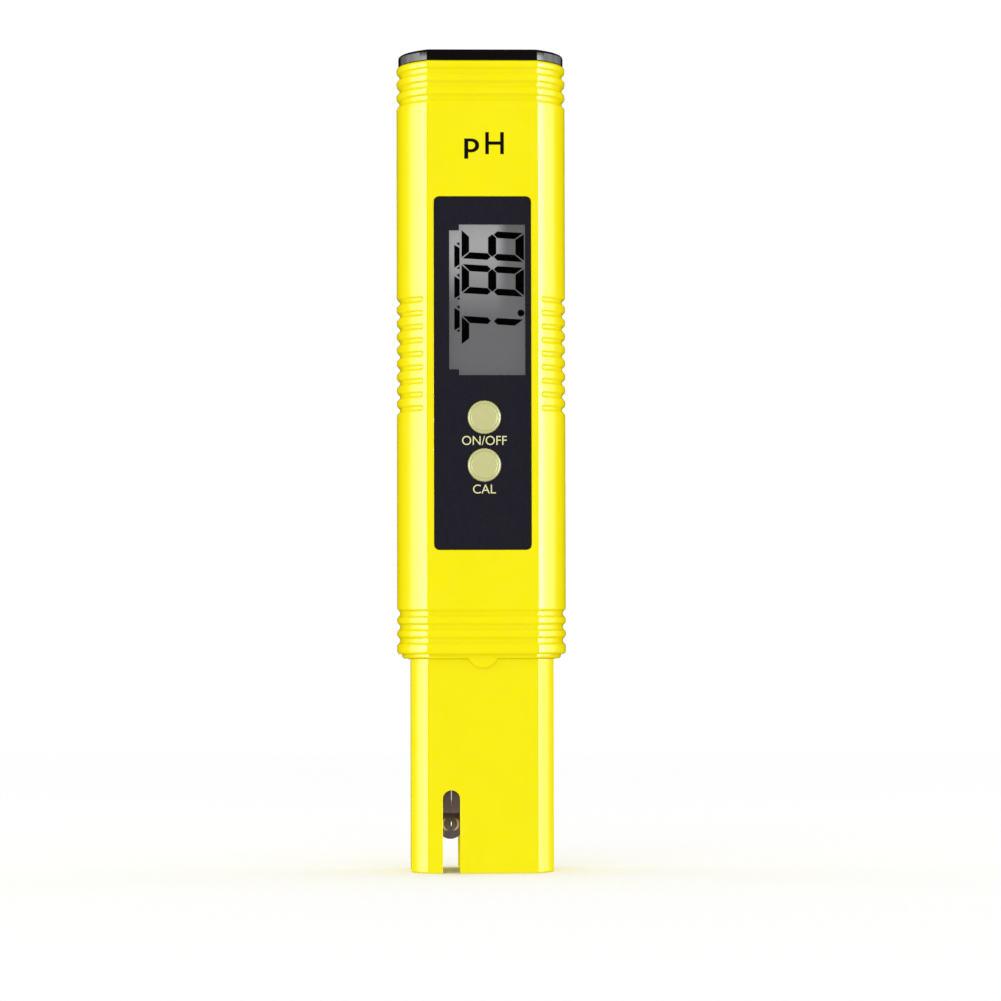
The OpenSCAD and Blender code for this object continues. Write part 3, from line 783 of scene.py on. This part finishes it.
def probe_guard():
    seam = 0.04
    rim = 0.35
    sleeve_top = BODY_LOW.z - seam
    rows = [(0, GUARD_WALL - 0.2), (0, rim)] + rounded_edge(0, rim, rim, 0, False)
    rows += [(sleeve_top, 0), (sleeve_top, GUARD_WALL), (0.2, GUARD_WALL)]
    loops = [GUARD.loop(z, inset) for z, inset in rows]
    sleeve = new_object("guard_sleeve", loft(loops, ring=True))

    outer = WALL + 0.05
    inner = outer + 1.35
    gland_low = BODY_LOW.z + 5.2
    gland_in = outer + 0.6
    rows = [(sleeve_top - 0.1, inner), (sleeve_top - 0.1, outer), (gland_low, outer),
            (gland_low, gland_in), (gland_low + 1.5, gland_in), (gland_low + 1.5, outer),
            (GUARD_HIGH.z - 0.3, outer)]
    rows += rounded_edge(GUARD_HIGH.z - 0.3, outer, GUARD_HIGH.z, outer + 0.3, True)
    rows.append((GUARD_HIGH.z, inner))
    spigot = loft([PEN.loop(z, inset) for z, inset in rows], ring=True)

    tab_front = GUARD_LOW.y
    edge = 0.3
    turn = steps(0, math.pi / 2, 5)
    levels = [(tab_front + edge - edge * math.cos(a), edge * (math.sin(a) - 1)) for a in turn]
    tab = depth_loft(levels + [(tab_front + 1.2, 0)], tab_outline)
    tab.transform(Matrix.Translation((0, 0, -seam * MM)))
    combine(sleeve, "UNION", [spigot])
    combine(sleeve, "UNION", [tab])

    flare = 0.22
    front = -GUARD_HIGH.y
    mouth = flared(front, 0, flare)
    back = [(-y, grow) for y, grow in mouth[1:]]
    slot = depth_loft(list(reversed(mouth[1:])) + [(0, 0)] + back, slot_outline)
    combine(sleeve, "DIFFERENCE", [slot])
    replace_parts(piece(sleeve, "pen", "yellow_abs"), "probe_guard")


# ---- battery cap ---------------------------------------------------------------------------------

def battery_cap():
    inset = BODY_HIGH.x - CAP_HIGH.x
    skirt = WALL + 0.15
    bore = skirt + 1.2
    seal_low = CAP_LOW.z + 1.2
    edge = 0.5
    rows = [(TOP_Z - 0.02, bore), (CAP_LOW.z + 0.2, bore), (CAP_LOW.z, bore - 0.2),
            (CAP_LOW.z, skirt + 0.3)]
    rows += rounded_edge(CAP_LOW.z, skirt + 0.3, CAP_LOW.z + 0.3, skirt, False)
    rows += [(seal_low, skirt), (seal_low, skirt + 0.5), (seal_low + 1.2, skirt + 0.5),
             (seal_low + 1.2, skirt), (TOP_Z + 0.02, skirt), (TOP_Z + 0.02, inset + 0.12),
             (TOP_Z + 0.14, inset), (CAP_HIGH.z - edge, inset)]
    rows += rounded_edge(CAP_HIGH.z - edge, inset, CAP_HIGH.z, inset + edge, True)
    cap = new_object("cap_skin", loft([PEN.loop(z, i) for z, i in rows]))
    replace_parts(piece(cap, "drawer", "black_abs"), "battery_cap")
    return cap


# ---- buttons -------------------------------------------------------------------------------------

def button(node, body_name):
    """A push button: a raised face, a fine ring groove, a rounded rim, a flange and a foot."""
    low, high = span(node)
    radius = BUTTON_D / 2
    flange = (high.x - low.x) / 2
    flange_y = PANEL_HIGH.y + 0.02 - low.y
    foot = high.y - low.y
    rim = 0.4
    rim_crest = radius - rim
    face_r = radius - 0.82
    profile = [(0, 0.05)] + [(r, 0.05 * (1 - (r / face_r) ** 2)) for r in steps(0, face_r, 8)[1:]]
    profile += [(face_r + 0.25 * math.sin(a), 0.13 - 0.13 * math.cos(a))
                for a in steps(0, math.radians(80), 6)[1:]]
    profile += [(rim_crest - 0.13, 0.14), (rim_crest - 0.08, 0.14), (rim_crest - 0.05, 0.06)]
    profile += [(rim_crest + rim * math.sin(a), rim - rim * math.cos(a))
                for a in steps(0, math.pi / 2, 7)]
    profile += [(radius, flange_y), (flange, flange_y), (flange, flange_y + 0.38),
                (1.5, flange_y + 0.38), (1.5, foot), (0, foot)]
    middle = ((low.x + high.x) / 2, low.y, (low.z + high.z) / 2)
    skin = new_object(node + "_skin", lathe(profile, middle, (0, 1, 0), segments=96))
    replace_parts(piece(skin, body_name, "button_plastic"), node)
    return skin


# ---- electrode tip -------------------------------------------------------------------------------

def glass_bulb():
    """The blown ball, drawn in to a waist where it joins its tube, with a thin even wall."""
    radius = (BULB_HIGH.x - BULB_LOW.x) / 2
    wall = 0.4
    tube = 1.6
    middle_z = BULB_LOW.z + radius
    neck = math.asin(tube / radius)
    outer = [(radius * math.sin(a), -radius * math.cos(a)) for a in steps(0, math.pi - neck, 40)]
    top = BULB_HIGH.z - middle_z
    ball = radius - wall
    inner_neck = math.asin((tube - wall) / ball)
    inner = [(ball * math.sin(a), -ball * math.cos(a)) for a in steps(0, math.pi - inner_neck, 40)]
    outer[0] = (0, -radius)
    inner[0] = (0, -ball)
    profile = outer + [(tube, top), (tube - wall, top)] + list(reversed(inner))
    bulb = new_object("bulb_skin", lathe(profile, (SENSOR_X, 0, middle_z), (0, 0, 1)))
    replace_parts(piece(bulb, "pen", "membrane_glass"), "glass_bulb")
    return bulb


def electrode_stem():
    """The electrode's tube, whose lower end is drawn in towards the glass."""
    low, high = span("electrode_stem")
    radius = (high.x - low.x) / 2
    bore = 2.28
    tip, taper = 2.5, 3.4
    rows = [(bore, high.z), (radius, high.z), (radius, low.z + taper)]
    rows += [(tip + (radius - tip) * t ** 0.6, low.z + 0.25 + (taper - 0.25) * t)
             for t in steps(1, 0, 10)[1:]]
    rows += [(tip - 0.12, low.z), (bore, low.z)]
    bm = bmesh.new()
    segments = 96
    rings = [[bm.verts.new(Vector((*turned((SENSOR_X, 0), r, FULL_TURN * i / segments), z)) * MM)
              for i in range(segments)] for r, z in rows]
    for first, second in zip(rings, rings[1:] + rings[:1]):
        for i in range(segments):
            j = (i + 1) % segments
            bm.faces.new((first[i], first[j], second[j], second[i]))
    bmesh.ops.recalc_face_normals(bm, faces=bm.faces)
    stem = new_object("stem_skin", bm)
    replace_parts(piece(stem, "pen", "electrode_plastic"), "electrode_stem")
    return stem


# ---- marks and display ---------------------------------------------------------------------------

def plate(outlines, y_front, thickness):
    """Thin plates facing -Y from closed outlines of (x, z) points."""
    bm = bmesh.new()
    for outline in outlines:
        face = bm.faces.new([bm.verts.new(Vector((x, y_front, z)) * MM) for x, z in outline])
        body_part = bmesh.ops.extrude_face_region(bm, geom=[face])
        moved = [item for item in body_part["geom"] if isinstance(item, bmesh.types.BMVert)]
        bmesh.ops.translate(bm, verts=moved, vec=(0, thickness * MM, 0))
    bmesh.ops.recalc_face_normals(bm, faces=bm.faces)
    return bm


def lettering(text, x_span, z_span, weight):
    """A mesh of thin raised letters in the X-Z plane, fitted to a width and a height."""
    curve = bpy.data.curves.new(text, "FONT")
    curve.body = text
    curve.offset = weight
    curve.extrude = 0.5
    curve.resolution_u = 6
    source = bpy.data.objects.new(text, curve)
    bpy.context.scene.collection.objects.link(source)
    shape = applied_mesh(source)
    bpy.data.objects.remove(source)
    bpy.data.curves.remove(curve)
    bm = bmesh.new()
    bm.from_mesh(shape)
    bpy.data.meshes.remove(shape)
    xs = [v.co.x for v in bm.verts]
    ys = [v.co.y for v in bm.verts]
    for vert in bm.verts:
        across = (vert.co.x - min(xs)) / (max(xs) - min(xs))
        up = (vert.co.y - min(ys)) / (max(ys) - min(ys))
        x = x_span[0] + across * (x_span[1] - x_span[0])
        z = z_span[0] + up * (z_span[1] - z_span[0])
        vert.co = Vector((x, -vert.co.z * 2 * INK, z)) * MM
    return bm


def mark(name, words, y_surface, material):
    """Printed words on a front-facing surface, from (text, x span, z span, weight) entries."""
    bm = bmesh.new()
    for word in words:
        part = lettering(*word)
        mesh = bpy.data.meshes.new(name)
        part.to_mesh(mesh)
        part.free()
        bm.from_mesh(mesh)
        bpy.data.meshes.remove(mesh)
    bmesh.ops.translate(bm, verts=bm.verts, vec=(0, y_surface * MM, 0))
    bmesh.ops.remove_doubles(bm, verts=bm.verts, dist=0.0005 * MM)
    bmesh.ops.recalc_face_normals(bm, faces=bm.faces)
    letters = new_object(name, bm)
    letters.data.materials.append(INKS[material])
    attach(letters, "pen")


def marks():
    base = PANEL_HIGH.z + 7.7
    mark("mark_ph", [("p", (-3.27, -0.55), (base - 0.85, base + 2.85), 0.014),
                     ("H", (0.55, 3.92), (base, base + 4.02), 0.009)], FRONT, "black_ink")
    below = span("power_button")[0].z
    mark("mark_on_off", [("ON/OFF", (-3.75, 4.35), (below - 1.41, below + 0.26), 0.0)],
         PANEL_LOW.y, "pale_ink")
    below = span("cal_button")[0].z
    mark("mark_cal", [("CAL", (-1.78, 2.37), (below - 1.54, below + 0.1), 0.0)],
         PANEL_LOW.y, "pale_ink")


DIGIT_W = 5.28
DIGIT_H = 11.31
DIGIT_MIDDLE = 5.76
DIGIT_STROKE = 1.2
DIGIT_SLANT = 0.06
SEGMENTS = {"6": "acdefg", "7": "abc", "8": "abcdefg"}


def segment(name):
    """Outline of one display segment as (across, up) points in an upright digit."""
    w, h, m, s = DIGIT_W, DIGIT_H, DIGIT_MIDDLE, DIGIT_STROKE
    top, bottom, half_bar = 1.36, 1.54, 0.74
    if name == "a":
        return [(0.16, h), (w - 0.16, h), (w - s - 0.08, h - top), (s + 0.08, h - top)]
    if name == "d":
        return [(0.22, 0), (s + 0.14, bottom), (w - s - 0.14, bottom), (w - 0.22, 0)]
    if name == "g":
        return [(0.58, m), (1.2, m + half_bar), (w - 1.2, m + half_bar), (w - 0.58, m),
                (w - 1.2, m - half_bar), (1.2, m - half_bar)]
    upper = name in "bf"
    shoulder = m + 0.86 if upper else m - 0.92
    point = m + 0.25 if upper else m - 0.28
    far, far_inner = (h - 0.2, h - top - 0.12) if upper else (0.18, bottom + 0.12)
    outline = [(w, far), (w, shoulder), (w - s / 2, point), (w - s, shoulder), (w - s, far_inner)]
    if name in "ef":
        outline = [(w - across, up) for across, up in outline]
    return outline


def display():
    """Black display segments: digits along the pen, and a cut-off row in the side strip."""
    top_z = WINDOW_HIGH.z
    top_x = WINDOW_LOW.x + 2.23
    dot_x, dot_z, dot_r = WINDOW_HIGH.x - 0.74, top_z - 16.09, 0.62
    outlines = []
    for digit, below_top in (("6", 0.87), ("8", 7.19), ("7", 16.61)):
        low_z = top_z - below_top - DIGIT_W
        for name in SEGMENTS[digit]:
            outlines.append([(top_x + DIGIT_H - up, low_z + across - DIGIT_SLANT * (DIGIT_H - up))
                             for across, up in segment(name)])
    outlines.append([(dot_x + dot_r * math.cos(a), dot_z + dot_r * math.sin(a))
                     for a in steps(0, FULL_TURN, 24)[:-1]])
    step_x = WINDOW_HIGH.x - 11.86
    bar_x = step_x - 0.97
    for high_below, low_below in ((3.68, 7.86), (9.4, 13.46), (15.15, 19.26)):
        high, low = top_z - high_below, top_z - low_below
        outlines.append([(bar_x, high), (step_x, high - 0.6), (step_x, low + 0.58), (bar_x, low)])
        outlines.append([(step_x - 0.6, high + 0.27), (step_x, high + 0.46), (step_x, high - 0.28)])
        outlines.append([(step_x - 0.6, low - 0.14), (step_x, low + 0.31), (step_x, low - 0.26)])
    depth = LCD_FRONT - 0.03
    ratio = (CAMERA_AWAY + depth) / (CAMERA_AWAY + WINDOW_LOW.y)
    camera_x = CAMERA_AWAY * math.sin(math.radians(CAMERA_TURN))
    outlines = [[(camera_x + (x - camera_x) * ratio, CAMERA_Z + (z - CAMERA_Z) * ratio)
                 for x, z in outline] for outline in outlines]
    digits = new_object("lcd_segments", plate(outlines, depth, 0.02))
    digits.data.materials.append(INKS["crystal_black"])
    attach(digits, "pen")


# ---- carried-over CAD nodes ----------------------------------------------------------------------

def dress_cad_nodes():
    """Gives every CAD node its slot's material, and rounds the moulded edges that can be seen."""
    for node, obj in frame["nodes"].items():
        for material_slot in obj.material_slots:
            material_slot.material = LIBRARY[material_slot.material.name.split(".")[0]]
    frame["nodes"]["lcd_front_glass"].material_slots[0].material = display_film()
    for node, width in (("face_panel", 0.08), ("display_window", 0.12), ("battery_tray", 0.2),
                        ("battery_cells", 0.3), ("inner_chassis", 0.15), ("lcd_frame", 0.15)):
        obj = frame["nodes"][node]
        weld = obj.modifiers.new("weld", "WELD")
        weld.merge_threshold = 0.001 * MM
        bevel = obj.modifiers.new("soft edges", "BEVEL")
        bevel.width = width * MM
        bevel.segments = 2
        bevel.limit_method = "ANGLE"
        bevel.angle_limit = math.radians(40)
        weighting = obj.modifiers.new("flat faces stay flat", "WEIGHTED_NORMAL")
        weighting.keep_sharp = False


# ---- studio --------------------------------------------------------------------------------------

def camera():
    data = bpy.data.cameras.new("camera")
    data.lens = LENS
    data.sensor_width = 36
    data.clip_start = 0.01
    data.clip_end = 10
    obj = bpy.data.objects.new("camera", data)
    bpy.context.scene.collection.objects.link(obj)
    obj.location = around(CAMERA_TURN, CAMERA_AWAY * MM, CAMERA_Z * MM)
    aim = Vector((AIM_X, 0, AIM_Z)) * MM - obj.location
    roll = Matrix.Rotation(math.radians(CAMERA_ROLL), 3, "Z")
    obj.rotation_euler = (aim.to_track_quat("-Z", "Y").to_matrix() @ roll).to_euler()
    bpy.context.scene.camera = obj


def around(angle, distance, z):
    """A place at an angle in degrees from -Y towards +X, in metres."""
    x, y = turned((0, 0), distance, math.radians(angle))
    return (x, y, z)


def light_only(light, receivers):
    """Keeps a light's glow to the given pieces."""
    group = bpy.data.collections.new(light.name + "_receivers")
    for obj in receivers:
        group.objects.link(obj)
    light.light_linking.receiver_collection = group


def area_light(name, place, size, radiance, aim):
    """A soft light that isn't seen itself."""
    data = bpy.data.lights.new(name, "AREA")
    data.shape = "RECTANGLE"
    data.size, data.size_y = size
    data.energy = radiance * math.pi * size[0] * size[1]
    obj = bpy.data.objects.new(name, data)
    bpy.context.scene.collection.objects.link(obj)
    obj.location = place
    obj.rotation_euler = (Vector(aim) - obj.location).to_track_quat("-Z", "Y").to_euler()
    obj.visible_camera = False
    return obj


def side_panel(side, middle_z, ramp, receivers=()):
    """A curved light panel beside the object, seen only in reflections.

    The ramp gives its (angle in degrees from the front, brightness), and side is -1 or 1.
    """
    low, high = ramp[0][0], ramp[-1][0]
    distance, half_h = 0.55 if receivers else 0.5, 0.18
    bm = bmesh.new()
    columns = []
    for angle in steps(low, high, 20):
        columns.append([bm.verts.new(around(side * angle, distance, middle_z + rise))
                        for rise in (-half_h, half_h)])
    for near, far in zip(columns, columns[1:]):
        bm.faces.new((near[0], far[0], far[1], near[1]))
    panel = new_object("side_panel", bm)
    nodes = Nodes("side_panel")
    nodes.tree.nodes.remove(nodes.shader)
    angle = nodes.math("ARCTAN2", nodes.math("MULTIPLY", nodes.axis("X"), side),
                       nodes.math("MULTIPLY", nodes.axis("Y"), -1.0))
    strength = nodes.add("ShaderNodeFloatCurve")
    share = nodes.remap(angle, math.radians(low), math.radians(high), 0, 1)
    nodes.feed(strength.inputs["Value"], share)
    curve = strength.mapping.curves[0]
    brightest = max(level for _, level in ramp)
    points = [((degrees - low) / (high - low), level / brightest) for degrees, level in ramp]
    for point, place in zip(curve.points, (points[0], points[-1])):
        point.location = place
    for place in points[1:-1]:
        curve.points.new(*place)
    strength.mapping.update()
    glow = nodes.add("ShaderNodeEmission")
    level = nodes.math("MULTIPLY", strength.outputs["Value"], brightest)
    nodes.feed(glow.inputs["Strength"], level)
    both = nodes.add("ShaderNodeAddShader")
    nodes.feed(both.inputs[0], glow.outputs["Emission"])
    nodes.feed(both.inputs[1], nodes.add("ShaderNodeBsdfTransparent").outputs["BSDF"])
    nodes.feed(nodes.output.inputs["Surface"], both.outputs["Shader"])
    panel.data.materials.append(nodes.material)
    panel.visible_camera = False
    panel.visible_diffuse = False
    panel.visible_transmission = False
    panel.visible_shadow = False
    if receivers:
        light_only(panel, receivers)


def surroundings(ambient):
    """A white world that lights the object evenly and leaves no reflection."""
    world = bpy.data.worlds.new("studio")
    bpy.context.scene.world = world
    world.use_nodes = True
    world.cycles_visibility.glossy = False
    tree = world.node_tree
    path = tree.nodes.new("ShaderNodeLightPath")
    strength = tree.nodes.new("ShaderNodeMapRange")
    tree.links.new(path.outputs["Is Camera Ray"], strength.inputs["Value"])
    strength.inputs["To Min"].default_value = ambient
    strength.inputs["To Max"].default_value = 1.0
    background = tree.nodes["Background"]
    background.inputs["Color"].default_value = (1, 1, 1, 1)
    tree.links.new(strength.outputs["Result"], background.inputs["Strength"])
    bpy.context.scene.view_settings.view_transform = "Standard"


# (degrees from the front, brightness) along the light panels on the left, -1, and the right, 1
BODY_GLOW = {
    -1: ((76, 9.5), (84, 8.2), (90, 6.3), (96, 4.8), (105, 3.0), (112, 1.0), (117, 0.1), (120, 0)),
    1: ((76, 12), (86, 12), (90, 8.7), (95, 4.0), (105, 2.3), (113, 1.5), (119, 0.2), (123, 0)),
}
CAP_GLOW = {
    -1: ((84, 0.1), (90, 1.6), (101, 1.4), (110, 1.5), (118, 2.6), (124, 2.3), (128, 1.0),
         (134, 0.8), (147, 0.4), (151, 0)),
    1: ((97, 0), (104, 0.3), (110, 1.2), (122, 1.4), (128, 1.6), (135, 0.9), (150, 0.5)),
}
BUTTON_GLOW = {
    -1: ((14, 0), (20, 4.2), (66, 4.2), (72, 0)),
    1: ((14, 0), (20, 5.4), (66, 5.4), (72, 0)),
}


def studio(cap, buttons, electrode):
    """Soft light from the front and the sides, and panels that reflect along the rounded sides."""
    middle_z = (cad_bounds[0][2] + cad_bounds[1][2]) / 2
    key = area_light("key", (-0.2, -0.75, 0.75), (0.7, 0.7), 0.5, (0, 0, middle_z))
    key.visible_glossy = False
    for side in (-1, 1):
        side_panel(side, middle_z, BODY_GLOW[side])
    for side in (-1, 1):
        fill = area_light("fill", around(side * 105, 0.8, 0.3), (0.6, 0.6), 0.9, (0, 0, middle_z))
        fill.visible_glossy = False
    for glow, receivers in ((CAP_GLOW, [cap]), (BUTTON_GLOW, buttons)):
        for side in (-1, 1):
            side_panel(side, middle_z, glow[side], receivers)
    glint = area_light("glint", around(4, 0.6, 0.05), (0.02, 0.42), 40, (SENSOR_X * MM, 0, 0.012))
    glint.visible_diffuse = False
    light_only(glint, electrode)
    surroundings(ambient=0.98)


def floor():
    """A pale floor disc that fades out into white and can be looked through from below."""
    radius = 1.2
    profile = [(0, 0), (radius / MM, 0)]
    bm = lathe(profile, (0, 0, cad_bounds[0][2] / MM - 0.01), (0, 0, 1), segments=96)
    for face in bm.faces:
        face.normal_update()
        if face.normal.z < 0:
            face.normal_flip()
    disc = new_object("floor", bm)
    nodes = Nodes("floor")
    distance = nodes.add("ShaderNodeVectorMath", operation="LENGTH")
    nodes.feed(distance.inputs[0], nodes.place)
    fade = nodes.remap(distance.outputs["Value"], 0.2, 0.8, 0, 1, True)
    grain = nodes.remap(nodes.noise(1.5, 3), 0.3, 0.7, 0, 1)
    nodes.surface(
        Base_Color=nodes.mix(grain, (0.90, 0.90, 0.90), (0.92, 0.92, 0.92)),
        Roughness=0.9,
        Specular_IOR_Level=0.0,
    )
    through = nodes.add("ShaderNodeBsdfTransparent")
    behind = nodes.add("ShaderNodeNewGeometry")
    hidden = nodes.math("MAXIMUM", fade, behind.outputs["Backfacing"])
    blend = nodes.add("ShaderNodeMixShader")
    nodes.feed(blend.inputs["Fac"], hidden)
    nodes.feed(blend.inputs[1], nodes.shader.outputs["BSDF"])
    nodes.feed(blend.inputs[2], through.outputs["BSDF"])
    nodes.feed(nodes.output.inputs["Surface"], blend.outputs["Shader"])
    disc.data.materials.append(nodes.material)
    disc.visible_glossy = False
    disc.visible_diffuse = False
    disc.visible_shadow = False


dress_cad_nodes()
body()
probe_guard()
cap_skin = battery_cap()
button_skins = [button("power_button", "power_key"), button("cal_button", "cal_key")]
electrode_skins = [glass_bulb(), electrode_stem()]
marks()
display()
camera()
studio(cap_skin, button_skins, electrode_skins)
floor()

bpy.context.view_layer.update()
